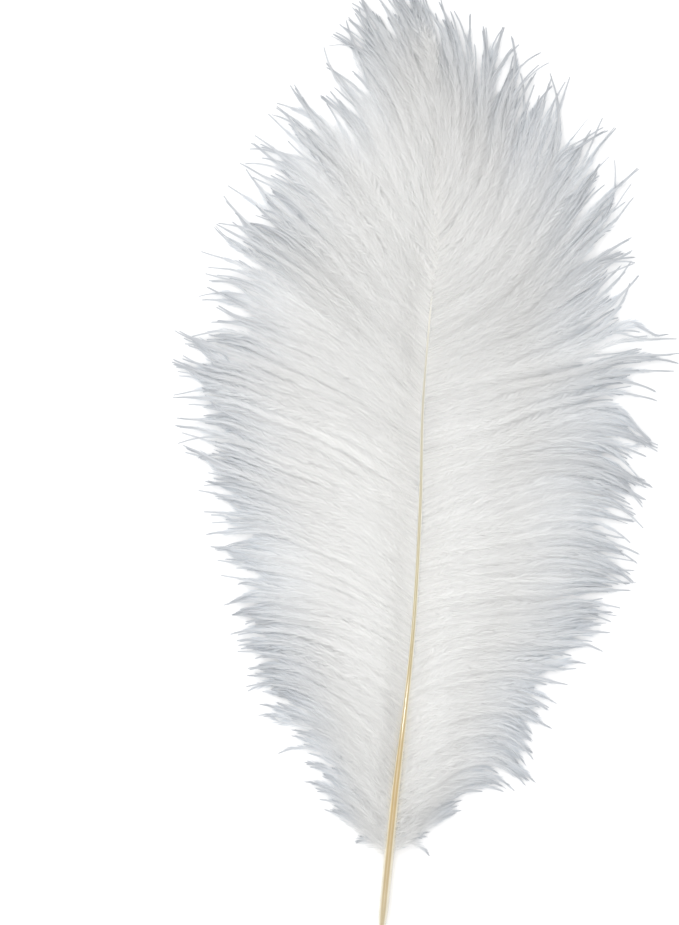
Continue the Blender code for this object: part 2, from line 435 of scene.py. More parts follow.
# Near their tips barbs cling together in wisps, and each wisp bends its own way: how long
# the wisps are, and how wild and how ragged, by station.
WISP_SIZES, WISP_ODDS = (1, 2, 3, 4, 5), (0.34, 0.36, 0.19, 0.08, 0.03)
WISP_LENGTH = (0.018, 0.034)
WISP_SHARE = ((0.04, 0.40), (0.12, 0.55), (0.22, 0.85), (0.28, 1.0), (0.456, 1.0))
WISP_CLINGS, CLINGS_SOONER = (0.72, 0.97), 1.30
TIPS_PART, TIPS_PART_WITHIN = 0.05, 0.006  # a wisp's last bit is a little looser
MOST_OF_BARB = 0.5  # a wisp takes no more of a barb
WILD = ((0.04, 0.50), (0.12, 0.55), (0.20, 0.75), (0.26, 1.0), (0.34, 0.95), (0.38, 0.6),
        (0.456, 0.6))
RAGGED = ((0.04, 0.65), (0.07, 0.50), (0.12, 0.42), (0.17, 0.50), (0.22, 0.75), (0.28, 1.0),
          (0.456, 1.0))
WISP_BEND, MOST_WISP_BEND, BARB_BEND = 16.0, 24, 3.0  # degrees
STRAY_SHARE, STRAY_BEND = 0.06, 26.0
BEND_WITHIN, MOST_BEND, BEND_SHARPENS = 0.026, 1.5, 1.2  # from the tip inwards
LONGER, SHORTER, LONGER_SHARE = (0.003, 0.021), (0.001, 0.008), 0.52
INNER, INNER_SHARE = (0.006, 0.020), 0.18  # how much shorter, and how many are
SHORTEST, LONGEST = 0.35, 1.12  # of the length to the rim
# Heights: the crown by station and by share of a barb, and how single barbs weave.
CROWN_BELOW_CAD = 0.0010
LOW_HEIGHT, LOWEST = 0.0012, 0.4  # where barbs come down to, and the least share of it
CROWN = ((0.04, 0.25), (0.10, 0.75), (0.22, 1.0), (0.29, 0.88), (0.36, 0.62), (0.44, 0.42))
CROWN_ALONG_BARB = ((0.0, 0.30), (0.12, 0.80), (0.26, 1.0), (0.50, 0.62), (0.72, 0.28),
                    (0.88, 0.10), (1.0, 0.04))
WEAVE = ((0.032, 0.00018), (0.013, 0.00010))  # length and height of each wave
WEAVE_STRETCH = (0.75, 1.3)
RISES_OVER, SETTLES_WITHIN = 0.16, 0.015  # a share of the barb, and a length at its tip
# From two thirds of the way up the rows close over the shaft: some barbs start beyond it,
# and all of them start higher, at this share of the crown, for a share of their length.
CLOSING_FROM, CLOSING_OVER, CLOSING_SHARE = 0.298, 0.03, 0.55
CLOSING_REACH, CLOSING_SPREAD, CLOSING_LIFT = 0.0024, (0.3, 1.0), 0.0006
BURIED_FROM, BURIED_OVER, BURIED_LIFT = 0.292, 0.05, 0.0012
BURIED_HEIGHT, BURIED_ALONG = 0.85, 0.25
# A barb's own stem is a narrow ribbon that stands a little above its fringes.
STEM_WIDTH = ((0.0, 0.00036), (0.3, 0.00028), (0.76, 0.00034), (0.87, 0.00078),
              (0.95, 0.00088), (1.0, 0.00060))
STEM_RISE, STEM_TILT = 0.0001, 0.4
# Down is duller towards the plume's two ends: the usual tone by station, of 1.
USUAL_TONE = {
    1: ((0.04, 0.20), (0.06, 0.50), (0.10, 0.74), (0.14, 0.76), (0.20, 0.70), (0.25, 0.64),
        (0.31, 0.54), (0.37, 0.54), (0.41, 0.34), (0.456, 0.28)),
    -1: ((0.04, 0.20), (0.06, 0.48), (0.10, 0.66), (0.14, 0.75), (0.20, 0.78), (0.25, 0.70),
         (0.31, 0.56), (0.38, 0.54), (0.42, 0.42), (0.456, 0.32)),
}
STEM_TONE_SPREAD = 0.05
# Where along a barb its colours start and end in their range, of 1: beside the shaft there
# is a warm tint, below one station. The painted shade of the tips, duller and bluer down,
# begins further out than usual, or nearer if negative, by station.
COLOURS_START, COLOURS_START_HIGHER, COLOURS_END = 0.02, 0.05, 0.96
WARM_BELOW, WARM_FADE = 0.085, 0.07
TIP_SHADE_BEGINS_LATER = {
    1: ((0.04, -0.02), (0.10, 0.06), (0.15, 0.07), (0.24, 0.03), (0.30, 0.04), (0.36, 0.02),
        (0.40, -0.04), (0.456, -0.04)),
    -1: ((0.04, -0.05), (0.10, 0.06), (0.16, 0.12), (0.36, 0.11), (0.41, 0.03), (0.456, 0.0)),
}
# Stems of all tones lie in this part of the layout's X, and in its Y by colour.
STEMS_AT, STEMS_ACROSS, STEM_HALF = 0.02, 0.28, 0.002


def profile(points, at):
    """A smooth curve through a table's points."""
    x, y = zip(*points)
    return curve_through(x, y, at)


def reach_of(node, side):
    """How far the row's rim is from the shaft's line, as y and distance."""
    rim = corners_of(node)
    rim = rim[rim[:, 2] < ON_SURFACE]
    out = side * (rim[:, 0] - shaft_x(rim[:, 1]))
    order = np.argsort(rim[:, 1])
    y, out = rim[order, 1], out[order]
    levels = np.linspace(y[0], y[-1], RIM_LEVELS)
    best = [out[np.abs(y - level) < RIM_WITHIN].max() for level in levels]
    return levels, np.array(best) + profile(BEYOND_RIM[side], levels - quill_end)


def wander(rng, count, share, spread):
    """Smooth random values along a row of barbs: share is the row's share in one wave."""
    knots = max(3, int(round(2 / share)))
    x = np.linspace(0, 1, knots)
    return spread * curve_through(x, rng.normal(size=knots), np.linspace(0, 1, count))


def grouped(rng, count, sizes, odds):
    """The group that each of a row belongs to, with neighbours in groups of random size."""
    drawn = rng.choice(sizes, count, p=odds)
    return np.repeat(np.arange(count), drawn)[:count]


def on_barb(path, barb, share):
    """The points at a share of the way along the barbs."""
    at = np.clip(share, 0, 1) * (path.shape[1] - 1)
    low = np.minimum(at.astype(int), path.shape[1] - 2)
    part = (at - low)[..., None]
    return path[barb, low] * (1 - part) + path[barb, low + 1] * part


def draw_together(path, length, group, loose, pull):
    """Draws all but loose barbs towards the longest of their group, as far along it."""
    pull = pull * ~loose[:, None]
    leader = np.zeros(group[-1] + 1, int)
    for one in range(group[-1] + 1):
        members = np.flatnonzero(group == one)
        leader[one] = members[np.argmax((length * ~loose)[members])]
    leader = leader[group]
    share = np.linspace(0, 1, path.shape[1])[None, :] * (length / length[leader])[:, None]
    target = on_barb(path, leader[:, None], share)
    return path + pull[..., None] * (target - path)


def way_at(side, y, out):
    """The direction of the barbs at a place on the plume."""
    table = np.array(WAYS[side], float)
    row = np.interp(y - quill_end, table[:, 0], np.arange(len(table)))
    column = np.interp(out, OUT, np.arange(len(OUT)))
    r = np.minimum(row.astype(int), len(table) - 2)
    c = np.minimum(column.astype(int), len(OUT) - 2)
    lower = table[r, c + 1] + (column - c) * (table[r, c + 2] - table[r, c + 1])
    upper = table[r + 1, c + 1] + (column - c) * (table[r + 1, c + 2] - table[r + 1, c + 1])
    return lower + (row - r) * (upper - lower)


def followed(side, root, off):
    """Barbs followed from the shaft, each off by so many degrees at each step."""
    x, y = root
    path = [np.stack([x, y], -1)]
    for k in range(STEPS):
        angle = np.radians(way_at(side, y, side * (x - shaft_x(y))) + off[:, k])
        x = x + side * STEP * np.cos(angle)
        y = y + STEP * np.sin(angle)
        path.append(np.stack([x, y], -1))
    return np.stack(path, 1)


def length_to_rim(side, path, rim):
    """How far along each barb the rim is, and never much further than its neighbours'."""
    rim_y, rim_out = rim
    x, y = path[..., 0], path[..., 1]
    room = curve_through(rim_y, rim_out, y) - side * (x - shaft_x(y))
    room = np.minimum(room, rim_y[-1] - y)
    one = np.arange(len(path))
    past = np.maximum(np.argmax(room < 0, axis=1), 1)
    inside, outside = room[one, past - 1], room[one, past]
    length = STEP * (past - 1 + np.clip(inside / (inside - outside), 0, 1))
    usual = [
        np.median(length[max(0, i - NEIGHBOURS):i + NEIGHBOURS + 1]) for i in range(len(path))
    ]
    return np.minimum(length, MOST_LONGER * np.array(usual))


def stations_of(side, rim, even):
    """Where the barbs grow: closer together where the row fans out."""
    trial = np.linspace(FIRST_BARB, LAST_BARB, TRIAL_BARBS)
    y = quill_end + trial
    path = followed(side, (shaft_x(y), y), np.zeros((len(y), STEPS)))
    share = SPACED_AT * length_to_rim(side, path, rim) / (STEP * STEPS)
    outer = on_barb(path, np.arange(len(y)), share)
    apart = np.linalg.norm(np.diff(outer, axis=0), axis=1) + np.diff(trial)
    crowd = np.concatenate([[0], np.cumsum(apart)])
    return np.interp(even, crowd / crowd[-1], trial)


def swing(rng, s):
    """How many degrees barbs are off their way at s along them, as the row and alone."""
    n = BARBS_A_SIDE
    off = wander(rng, n, *ROW_TURNS)[:, None] + rng.normal(0, BARB_TURNS, n)[:, None]
    for wave, together, alone in WAVES:
        phase_row = wander(rng, n, *ROW_PHASE)[:, None]
        phase_own = rng.uniform(0, 2 * math.pi, n)[:, None]
        stretch = rng.uniform(*WAVE_STRETCH, n)[:, None]
        strength = rng.uniform(*WAVE_STRENGTH, n)[:, None]
        grow = ease(s / WAVES_START_OVER)
        off = off + grow * together * np.sin(2 * math.pi * s / wave + phase_row)
        own = np.sin(2 * math.pi * s / (wave * stretch) + phase_own)
        off = off + grow * alone * strength * own
    return off


def hanging(rng, station):
    """How many degrees the lowest barbs hang, some of them."""
    odds = HANGING_SHARE * ease((HANGING_BELOW - station) / HANGING_OVER)
    hangs = rng.random(len(station)) < odds
    return hangs * rng.uniform(*HANGING_DEGREES, len(station))


def bends(rng, wisp, stray, station):
    """How many degrees the wisps bend at their tips, with each barb's own bit."""
    n, wisps = len(wisp), wisp[-1] + 1
    of_wisp = np.clip(rng.normal(0, WISP_BEND, wisps), -MOST_WISP_BEND, MOST_WISP_BEND)
    own = rng.normal(0, BARB_BEND, n)
    bend = of_wisp[wisp] + own + stray * rng.normal(0, STRAY_BEND, n)
    return bend * profile(WILD, station)


def uneven_lengths(rng, length, wisp, station):
    """The barbs' lengths, once wisps reach out or stop short and some barbs are inner ones."""
    n, wisps = len(wisp), wisp[-1] + 1
    longer, shorter = rng.uniform(*LONGER, wisps), -rng.uniform(*SHORTER, wisps)
    in_row = wander(rng, n, *ROW_UNEVEN)
    uneven = in_row + np.where(rng.random(wisps) < LONGER_SHARE, longer, shorter)[wisp]
    uneven = uneven * profile(RAGGED, station)
    own = -np.abs(rng.normal(0, BARB_UNEVEN, n))
    inner = rng.random(n) < INNER_SHARE
    own = np.where(inner, -rng.uniform(*INNER, n), own)
    return np.clip(length + uneven + own, SHORTEST * length, LONGEST * length)


def heights(rng, station, closes, lower, t, length):
    """The barbs' heights: from the shaft's side up over the crown and down to the surface."""
    n = len(station)
    y = quill_end + station
    crown = cad_box[1][2] - CROWN_BELOW_CAD
    of_row = profile(CROWN, station) + wander(rng, n, *ROW_HEIGHT)
    buried = ease((station - BURIED_FROM) / BURIED_OVER)
    root_z = shaft_bottom(y) * (1 - ROOT_UP) + shaft_top(y) * ROOT_UP
    root_z = root_z + BURIED_LIFT * buried + CLOSING_LIFT * closes
    rise = profile(CROWN_ALONG_BARB, t)
    rise = rise + buried[:, None] * (1 - ease(t / BURIED_ALONG)) * (BURIED_HEIGHT - rise)
    over = LOW_HEIGHT + crown * of_row[:, None] * rise
    under = -np.where(lower, rng.uniform(*LOWER_DOWN, n), rng.uniform(*UPPER_DOWN, n))[:, None]
    weave = 0.0
    for wave, size in WEAVE:
        phase = rng.uniform(0, 2 * math.pi, n)[:, None]
        stretch = rng.uniform(*WEAVE_STRETCH, n)[:, None]
        turns = t * length[:, None] / (wave * stretch)
        weave = weave + size * np.sin(2 * math.pi * turns + phase)
    risen = ease(t / RISES_OVER)
    loose = ease(length[:, None] * (1 - t) / SETTLES_WITHIN)
    z = root_z[:, None] * (1 - risen) + risen * (over + (under + weave) * loose)
    return np.maximum(z, LOW_HEIGHT * LOWEST)


def barb_row(side, rng):
    """The barbs' centre lines, (barb, point, xyz), with what each was given."""
    n = BARBS_A_SIDE
    rim = reach_of({1: "vane_right", -1: "vane_left"}[side], side)
    even = np.sort(np.arange(n) + rng.uniform(-ROOT_SHIFT, ROOT_SHIFT, n)) / n
    station = stations_of(side, rim, even)
    root_y = quill_end + station
    closes = ease((station - CLOSING_FROM) / CLOSING_OVER)
    closes = closes * (rng.random(n) < CLOSING_SHARE) * rng.uniform(*CLOSING_SPREAD, n)
    from_line = shaft_half(root_y) * ROOT_OUT - CLOSING_REACH * closes
    root = (shaft_x(root_y) + side * from_line, root_y)
    strand = grouped(rng, n, STRAND_SIZES, STRAND_ODDS)
    lower = rng.random(n) < LOWER_SHARE
    wisp = grouped(rng, n, WISP_SIZES, WISP_ODDS)
    wisp_length = rng.uniform(*WISP_LENGTH, wisp[-1] + 1)[wisp] * profile(WISP_SHARE, station)

    # The way each barb goes, first to the rim, and then again with its tip bent.
    s = STEP * np.arange(STEPS)[None, :]
    off = swing(rng, s)
    crosses = rng.random(n) < CROSSING_SHARE
    crossing = (crosses * rng.uniform(-CROSSING_DEGREES, CROSSING_DEGREES, n))[:, None]
    off = off + crossing * ease((s - CROSSING_FROM) / CROSSING_OVER)
    hangs = hanging(rng.spawn(1)[0], station)
    off = off - hangs[:, None] * ease((s - HANGING_FROM) / HANGING_BEND)
    length = length_to_rim(side, followed(side, root, off), rim)
    stray = rng.random(n) < STRAY_SHARE
    bend = bends(rng, wisp, stray, station)
    free = np.clip(1 - (length[:, None] - s) / BEND_WITHIN, 0, MOST_BEND)
    off = off + bend[:, None] * free**BEND_SHARPENS
    path = followed(side, root, off)
    length = uneven_lengths(rng, length_to_rim(side, path, rim), wisp, station)
    length = length * np.where(hangs > 0, HANGING_LENGTH, 1.0)

    # Drawn together in strands, and in wisps towards the tips.
    t = np.linspace(0, 1, BARB_POINTS)[None, :]
    flat = on_barb(path, np.arange(n)[:, None], t * length[:, None] / (STEP * STEPS))
    pull = STRAND_PULL * ease((t - STRAND_STARTS) / STRAND_OVER)
    flat = draw_together(flat, length, strand, lower | crosses | stray, pull)
    from_tip = length[:, None] * (1 - t)
    wisp_length = np.minimum(wisp_length, MOST_OF_BARB * length)
    near_tip = from_tip / wisp_length[:, None]
    pull = ease(CLINGS_SOONER * (1 - near_tip))
    pull = pull * (1 - TIPS_PART * ease(1 - from_tip / TIPS_PART_WITHIN))
    pull = pull * rng.uniform(*WISP_CLINGS, n)[:, None]
    flat = draw_together(flat, length, wisp, stray | crosses | (hangs > 0), pull)
    z = heights(rng, station, closes, lower, t, length)
    return {
        "path": np.concatenate([flat, z[..., None]], -1),
        "length": length,
        "lower": lower,
        "strand": strand,
        "wisp_length": wisp_length,
    }


def unit(v):
    """Directions, one long each."""
    return v / np.maximum(np.linalg.norm(v, axis=-1, keepdims=True), 1e-12)


def colour_place(side, y, t):
    """Where the down's colour at t of the way along a barb is in its range."""
    longer = profile(TIP_SHADE_BEGINS_LATER[side], y - quill_end)
    start = COLOURS_START + COLOURS_START_HIGHER * ease((y - quill_end - WARM_BELOW) / WARM_FADE)
    return start + (COLOURS_END - start) * (t - longer * np.sin(math.pi * t))


def stems(side, row, rng):
    """The barbs' stems: their points, triangles, layout, and the barb of each triangle."""
    path = row["path"]
    n, k = path.shape[:2]
    t = np.linspace(0, 1, k)
    along = unit(np.gradient(path, axis=1))
    facing = unit(np.array([0, 0, 1.0]) + STEM_TILT * rng.normal(size=(n, 1, 3)))
    across = unit(np.cross(along, facing))
    half = (profile(STEM_WIDTH, t) / 2)[None, :, None]
    crest = path + np.array([0, 0, STEM_RISE])
    points = np.stack([crest - across * half, crest + across * half], 2).reshape(-1, 3)
    first = (np.arange(n)[:, None] * k + np.arange(k - 1)[None, :]) * 2
    a, b, c, d = first, first + 1, first + 3, first + 2
    faces = np.stack([a, b, c, a, c, d], -1).reshape(-1, 3)
    usual = profile(USUAL_TONE[side], path[:, :-1, 1] - quill_end)
    tone = np.clip(usual + rng.normal(0, STEM_TONE_SPREAD, (n, 1)), 0, 1)
    u = (STEMS_AT + STEMS_ACROSS * tone)[..., None]
    v = colour_place(side, path[:, :1, 1], t[None, :])
    v0, v1 = v[:, :-1, None], v[:, 1:, None]
    left, right = u - STEM_HALF, u + STEM_HALF
    corners = ((left, v0), (right, v0), (right, v1), (left, v1))
    a, b, c, d = [np.concatenate(corner, -1) for corner in corners]
    layout = np.stack([a, b, c, a, c, d], -2).reshape(-1, 2)
    return points, faces, layout, np.repeat(np.arange(n), (k - 1) * 2)


# Every barb carries a fringe of barbules along both of its edges: fine limp fibres that
# grew with it, without the hooks that hold other feathers together. They lean towards
# its tip, curl, and hold together in small tufts, longest along its middle.
TRIANGLES_A_SIDE, MOST_IN_A_PIECE = 475_000, 190_000
BARBULE_LENGTH = ((0.0, 0.0030), (0.12, 0.0050), (0.35, 0.0062), (0.75, 0.0060), (1.0, 0.0050))
BARBULE_LEAN = ((0.0, 27), (0.45, 19), (0.70, 14), (0.85, 11), (1.0, 8))  # degrees
BARBULE_WIDTH = ((0.0, 0.00022), (0.75, 0.00021), (0.90, 0.00026), (1.0, 0.00018))
# The share of a barb's barbules below each point along it: they're closest near its tip.
BARBULE_CROWD = ((0.0, 0.40, 0.70, 0.90, 1.0), (0.0, 0.44, 0.735, 0.90, 0.998))
# A tuft grows from so much of a barb. What its barbules have in common differs from tuft
# to tuft: lean and size, as shares, roll in degrees, curl and tone.
TUFT = 0.0022
TUFT_LEAN, TUFT_ROLL, TUFT_CURL, TUFT_SIZE, TUFT_TONE = 0.20, 4, 0.10, 0.10, 0.05
LEAN_LIMITS, SIZE_LIMITS = (0.3, 2.0), (0.6, 1.4)
# Each barbule's own: lean and size, as shares, roll in degrees, curl, and how far its
# flat side turns from facing up.
OWN_LEAN, OWN_SIZE, OWN_ROLL = (0.85, 1.15), (0.75, 1.1), 5
OWN_CURL, OWN_TILT = 0.07, 0.15
FRINGE_HANGS, FRINGE_SWINGS, FRINGE_TURNS = -10, 6, (2, 7)  # degrees, and radians a barb
LOWER_SPREAD = 1.9  # how much wider lower barbs spread their fringes
# Near a wisp's tip the barbules are smaller and lie along it: size and lean at the tip,
# as shares, how soon they get there, and how much more they cling than usual.
TIP_SIZE, TIP_SIZE_SOON, TIP_LEAN, TIP_LEAN_SOON = 0.28, 1.2, 0.15, 1.7
TIP_CLINGS, USUAL_CLINGS, DROOP = 0.9, 0.40, 0.05
SURFACE = 0.0003  # no barbule goes lower
TONES = 24  # a tuft has one of so many tones, from dull to bright
ROW_TONE = (0.05, 0.03)  # they change slowly along the row: share in one change, how much
# Painted light: lower barbs are painted brighter, to cancel the shade that falls on them under the
# rest.
LOWER_BARBS_PAINTED_LIGHT = 0.20  # lower barbs are this much brighter, which their shade takes off again
# Painted light and shade: strands are painted paler and duller by turns, as lines of light and
# shade along them.
STRAND_PAINTED_SHADING, CONTRAST_SPREAD = 0.11, (0.3, 1.7)  # strands are paler and duller by turns
# Painted shade: down is painted darker within this length of the shaft, where shade falls
# beside it, more so on the left: by how much of the range of tones, by station.
SHADE_BESIDE_SHAFT_WITHIN = 0.012
PAINTED_SHADE_BESIDE_SHAFT = {
    1: ((0.06, 0.0), (0.08, 0.15), (0.13, 0.17), (0.16, 0.05), (0.19, 0.12), (0.215, 0.22),
        (0.245, 0.26), (0.28, 0.08), (0.456, 0.0)),
    -1: ((0.06, 0.0), (0.08, 0.55), (0.13, 0.34), (0.18, 0.22), (0.215, 0.42), (0.245, 0.36),
         (0.28, 0.08), (0.456, 0.0)),
}
# Barbules lie in this part of the layout's X, a column for each tone. A column runs from
# their roots to their tips, whose places in it are given last.
FRINGE_AT, FRINGE_ACROSS = 0.34, 0.62
ACROSS_COLUMN, BARBULE_HALF = (0.08, 0.45, 0.90), 0.001
ALONG_BARB, MOST_MIDDLE, MOST_TIP = 0.9, 0.985, 0.99  # their reach in Y, of their length
# The colours of fringes and stems, from 0 beside the shaft to 1 at the tips: a warm tint at
# the roots, and painted shade, duller and bluer, towards the tips.
FRINGE_COLOURS_AND_TIP_SHADE = (
    (0.00, (0.94, 0.905, 0.835)),
    (0.04, (0.957, 0.943, 0.91)),
    (0.075, (0.96, 0.957, 0.949)),
    (0.20, (0.955, 0.955, 0.949)),
    (0.45, (0.935, 0.935, 0.930)),
    (0.68, (0.885, 0.895, 0.905)),
    (0.84, (0.795, 0.822, 0.85)),
    (0.94, (0.70, 0.72, 0.75)),
    (1.00, (0.55, 0.57, 0.60)),
)
STEM_COLOURS_AND_TIP_SHADE = (
    (0.00, (0.90, 0.84, 0.70)),
    (0.06, (0.97, 0.965, 0.95)),
    (0.55, (0.96, 0.96, 0.96)),
    (0.80, (0.86, 0.87, 0.885)),
    (0.92, (0.70, 0.72, 0.745)),
    (1.00, (0.50, 0.52, 0.55)),
)
# How bright the dullest tone is, and how much brighter the brightest one.
DULLEST, FRINGE_BRIGHTER, STEM_BRIGHTER = 0.84, 0.21, 0.18
BARBULE_ROOT, BARBULE_FADES = 1.01, 0.06  # how bright a root is, and what its tip loses
# Faint clouds along the barbs, in other places for every tone.
CLOUD_TURN, DOWN_CLOUDS, DOWN_TONES = 7.31, (1.0, 9.0, 1.0), (0.98, 1.02)
DOWN_ROUGHNESS = (0.68, 0.82)
LIGHT_THROUGH = 0.48  # how much of the light goes through
SEEDS = {-1: 39, 1: 108}  # the right one was picked out of about 15 for its likeness


def barbule_layout(side, row, rng, barb, t, size, tuft_tone):
    """Where the barbules' corners are in the layout, by their tone and their barb's colours."""
    path, length = row["path"], row["length"]
    n, m = len(path), len(barb)
    tone = profile(USUAL_TONE[side], on_barb(path, barb, t)[:, 1] - quill_end)
    tone = tone + wander(rng, n, *ROW_TONE)[barb] + TUFT_TONE * tuft_tone
    # painted light on the lower barbs, against their shade
    tone = tone + LOWER_BARBS_PAINTED_LIGHT * row["lower"][barb]
    # painted light and shade along the strands, paler and duller by turns
    by_turns = np.where(row["strand"] % 2, 1.0, -1.0)
    strand_shading_strength = rng.spawn(1)[0].uniform(*CONTRAST_SPREAD, n)[row["strand"]]
    tone = tone + (STRAND_PAINTED_SHADING * by_turns * strand_shading_strength)[barb]
    # painted shade beside the shaft, near each barb's root
    shade_beside_shaft = 1 - ease(length[barb] * t / SHADE_BESIDE_SHAFT_WITHIN)
    tone = tone - shade_beside_shaft * profile(PAINTED_SHADE_BESIDE_SHAFT[side], path[barb, 0, 1] - quill_end)
    column = np.clip(TONES * tone + rng.uniform(-0.5, 0.5, m), 0, TONES - 1).astype(int)
    u, u_mid, u_tip = [
        FRINGE_AT + FRINGE_ACROSS * (column + share) / TONES for share in ACROSS_COLUMN
    ]
    v = colour_place(side, path[barb, 0, 1], t)
    reach = size / length[barb] * ALONG_BARB
    v_mid, v_tip = np.minimum(v + reach / 2, MOST_MIDDLE), np.minimum(v + reach, MOST_TIP)
    left, right = (u_mid - BARBULE_HALF, v_mid), (u_mid + BARBULE_HALF, v_mid)
    a, b, c, d = [np.stack(corner, -1) for corner in ((u, v), left, right, (u_tip, v_tip))]
    return np.stack([a, b, c, b, d, c], 1).reshape(-1, 2)


def barbules(side, row, rng, m):
    """The fringes: m barbules of two triangles, as the stems' arrays are."""
    path, length = row["path"], row["length"]
    n, k = path.shape[:2]
    barb = np.sort(rng.choice(n, m, p=length / length.sum()))
    t = np.interp(rng.random(m), *BARBULE_CROWD)
    base = on_barb(path, barb, t)
    low = np.minimum((t * (k - 1)).astype(int), k - 2)
    along = unit(path[barb, low + 1] - path[barb, low])
    up = np.array([0, 0, 1.0])
    across = unit(np.cross(up, along))
    above = np.cross(along, across)
    hand = rng.integers(0, 2, m)
    slots = int(length.max() / TUFT) + 2
    tuft = (t * length[barb] / TUFT + 0.5 * hand).astype(int)
    common = rng.normal(size=(5, n, 2, slots))[:, barb, hand, tuft]
    of_lean, of_roll, of_curl, of_size, of_tone = common

    # Which way each leaves its barb.
    turn = rng.uniform(0, 2 * math.pi, n)[barb] + t * rng.uniform(*FRINGE_TURNS, n)[barb]
    roll = FRINGE_HANGS + FRINGE_SWINGS * np.sin(turn) + TUFT_ROLL * of_roll
    roll = np.radians(roll + rng.normal(0, OWN_ROLL, m))
    sign = 2.0 * hand - 1.0
    out = across * (np.cos(roll) * sign)[:, None] + above * np.sin(roll)[:, None]
    lean = profile(BARBULE_LEAN, t) * np.clip(1 + TUFT_LEAN * of_lean, *LEAN_LIMITS)
    lean = lean * np.where(row["lower"], LOWER_SPREAD, 1.0)[barb]
    lean = np.radians(lean * rng.uniform(*OWN_LEAN, m))
    near_tip = np.clip(length[barb] * (1 - t) / row["wisp_length"][barb], 0, 1)
    size = profile(BARBULE_LENGTH, t) * np.clip(1 + TUFT_SIZE * of_size, *SIZE_LIMITS)
    taper = np.minimum(TIP_SIZE + near_tip**TIP_SIZE_SOON, 1.0)
    size = size * rng.uniform(*OWN_SIZE, m) * taper
    lean = lean * (TIP_LEAN + (1 - TIP_LEAN) * near_tip**TIP_LEAN_SOON)
    first = unit(along * np.cos(lean)[:, None] + out * np.sin(lean)[:, None])

    # Its outer half turns back along the barb, curls and droops.
    curl = TUFT_CURL * of_curl[:, None] * out
    clings = (USUAL_CLINGS + TIP_CLINGS * (1 - near_tip))[:, None]
    own = rng.normal(0, OWN_CURL, (m, 3))
    second = unit(first + clings * along + curl + own - DROOP * up)
    halfway = base + first * (size * 0.5)[:, None]
    tip = halfway + second * (size * 0.5)[:, None]
    facing = unit(up + OWN_TILT * rng.normal(size=(m, 3)))
    wide = unit(np.cross(first, facing)) * (profile(BARBULE_WIDTH, t) / 2)[:, None]
    points = np.stack([base, halfway - wide, halfway + wide, tip], 1)
    points[..., 2] = np.maximum(points[..., 2], SURFACE)
    a = np.arange(m)[:, None] * 4
    b, c, d = a + 1, a + 2, a + 3
    faces = np.stack([a, b, c, b, d, c], -1).reshape(-1, 3)
    layout = barbule_layout(side, row, rng, barb, t, size, of_tone)
    return points.reshape(-1, 3), faces, layout, np.repeat(barb, 2)


def down_material():
    """White down that lets light through, with painted shade, duller and bluer, towards its tips.
    """
    made, _, across, along = new_material("down")
    nodes, links = made.node_tree.nodes, made.node_tree.links
    shader = nodes["Principled BSDF"]
    # The fringes' tone is their column's, and they fade a little from root to tip.
    place = maths(made, "SUBTRACT", across, FRINGE_AT)
    place = maths(made, "MULTIPLY", place, TONES / FRINGE_ACROSS)
    outwards = maths(made, "FRACT", place)
    tone = maths(made, "FLOOR", place)
    bright = maths(made, "MULTIPLY", tone, FRINGE_BRIGHTER / (TONES - 1))
    bright = maths(made, "ADD", DULLEST, bright)
    cell = nodes.new("ShaderNodeCombineXYZ")
    links.new(maths(made, "MULTIPLY", tone, CLOUD_TURN), cell.inputs["X"])
    links.new(along, cell.inputs["Y"])
    clouds = noise_of(made, cell.outputs[0], DOWN_CLOUDS, 1.0)
    bright = maths(made, "MULTIPLY", bright, spread_of(made, clouds, *DOWN_TONES))
    fringe = blend_of(made, "MULTIPLY", 1.0, ramp_of(made, along, FRINGE_COLOURS_AND_TIP_SHADE), bright)
    fade = maths(made, "MULTIPLY", outwards, BARBULE_FADES)
    fade = maths(made, "SUBTRACT", BARBULE_ROOT, fade)
    fringe = blend_of(made, "MULTIPLY", 1.0, fringe, fade)
    # The stems' tone changes evenly across theirs.
    tone = maths(made, "DIVIDE", maths(made, "SUBTRACT", across, STEMS_AT), STEMS_ACROSS)
    bright = maths(made, "ADD", DULLEST, maths(made, "MULTIPLY", tone, STEM_BRIGHTER))
    stem = blend_of(made, "MULTIPLY", 1.0, ramp_of(made, along, STEM_COLOURS_AND_TIP_SHADE), bright)
    between = (STEMS_AT + STEMS_ACROSS + FRINGE_AT) / 2
    colour = blend_of(made, "MIX", maths(made, "LESS_THAN", across, between), fringe, stem)
    links.new(colour, shader.inputs["Base Color"])
    links.new(spread_of(made, clouds, *DOWN_ROUGHNESS), shader.inputs["Roughness"])
    through = nodes.new("ShaderNodeBsdfTranslucent")
    links.new(colour, through.inputs["Color"])
    both = nodes.new("ShaderNodeMixShader")
    both.inputs[0].default_value = LIGHT_THROUGH
    links.new(shader.outputs[0], both.inputs[1])
    links.new(through.outputs[0], both.inputs[2])
    links.new(both.outputs[0], nodes["Material Output"].inputs["Surface"])
    return made


